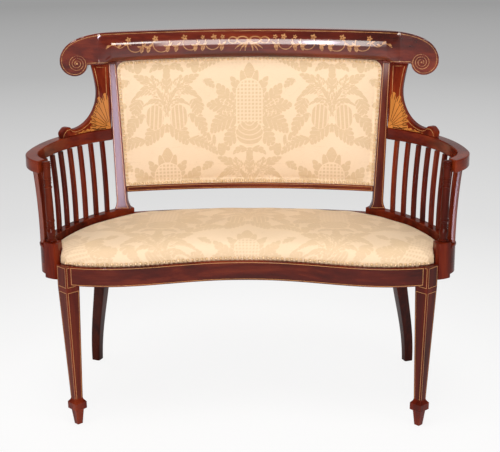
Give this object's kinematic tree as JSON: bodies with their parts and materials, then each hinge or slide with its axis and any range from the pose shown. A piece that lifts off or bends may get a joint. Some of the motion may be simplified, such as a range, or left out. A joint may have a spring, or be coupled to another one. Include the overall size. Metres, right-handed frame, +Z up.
{
  "type": "settee",
  "caption": "Inlaid mahogany salon settee with a kidney-shaped seat, spindle galleries under curved arms, winged scrolled crest and cream damask upholstery.",
  "frame": {"origin": "middle of the footprint of the whole piece, on the floor", "axes": "+Z up, the sitter faces -Y, +X is the right-hand side as seen from the front"},
  "size_m": [1.0614, 0.4654, 0.931],
  "materials": {
    "polished_mahogany": "glossy French polish with light stringing",
    "cream_damask": "matt woven damask",
    "hessian": "coarse plain weave",
    "webbing": "woven strap",
    "brass_nails": "polished domed heads",
    "beech": "unpolished",
    "steel_screws": "plain"
  },
  "bodies": {
    "root": {"front_leg_left": "polished_mahogany", "back_leg_left": "polished_mahogany", "side_rail_left": "polished_mahogany", "arm_block_left": "polished_mahogany", "arm_column_left": "polished_mahogany", "arm_rail_left": "polished_mahogany", "back_post_left": "polished_mahogany", "wing_left": "polished_mahogany", "spindle_left_1": "polished_mahogany", "spindle_left_2": "polished_mahogany", "spindle_left_3": "polished_mahogany", "spindle_left_4": "polished_mahogany", "spindle_left_5": "polished_mahogany", "spindle_left_6": "polished_mahogany", "spindle_left_7": "polished_mahogany", "spindle_left_8": "polished_mahogany", "spindle_left_9": "polished_mahogany", "back_fillet_left": "polished_mahogany", "front_leg_right": "polished_mahogany", "back_leg_right": "polished_mahogany", "side_rail_right": "polished_mahogany", "arm_block_right": "polished_mahogany", "arm_column_right": "polished_mahogany", "arm_rail_right": "polished_mahogany", "back_post_right": "polished_mahogany", "wing_right": "polished_mahogany", "spindle_right_1": "polished_mahogany", "spindle_right_2": "polished_mahogany", "spindle_right_3": "polished_mahogany", "spindle_right_4": "polished_mahogany", "spindle_right_5": "polished_mahogany", "spindle_right_6": "polished_mahogany", "spindle_right_7": "polished_mahogany", "spindle_right_8": "polished_mahogany", "spindle_right_9": "polished_mahogany", "back_fillet_right": "polished_mahogany", "front_seat_rail": "polished_mahogany", "back_seat_rail": "polished_mahogany", "back_lower_rail": "polished_mahogany", "crest_rail": "polished_mahogany", "seat_pad": "cream_damask", "back_pad": "cream_damask", "outside_back": "cream_damask", "seat_hessian": "hessian", "back_hessian": "hessian", "seat_webbing": "webbing", "back_webbing": "webbing", "seat_nails": "brass_nails", "back_nails": "brass_nails", "glue_block_front_left": "beech", "screw_front_left": "steel_screws", "glue_block_front_right": "beech", "screw_front_right": "steel_screws", "glue_block_back_left": "beech", "screw_back_left": "steel_screws", "glue_block_back_right": "beech", "screw_back_right": "steel_screws"}
  },
  "joints": []
}
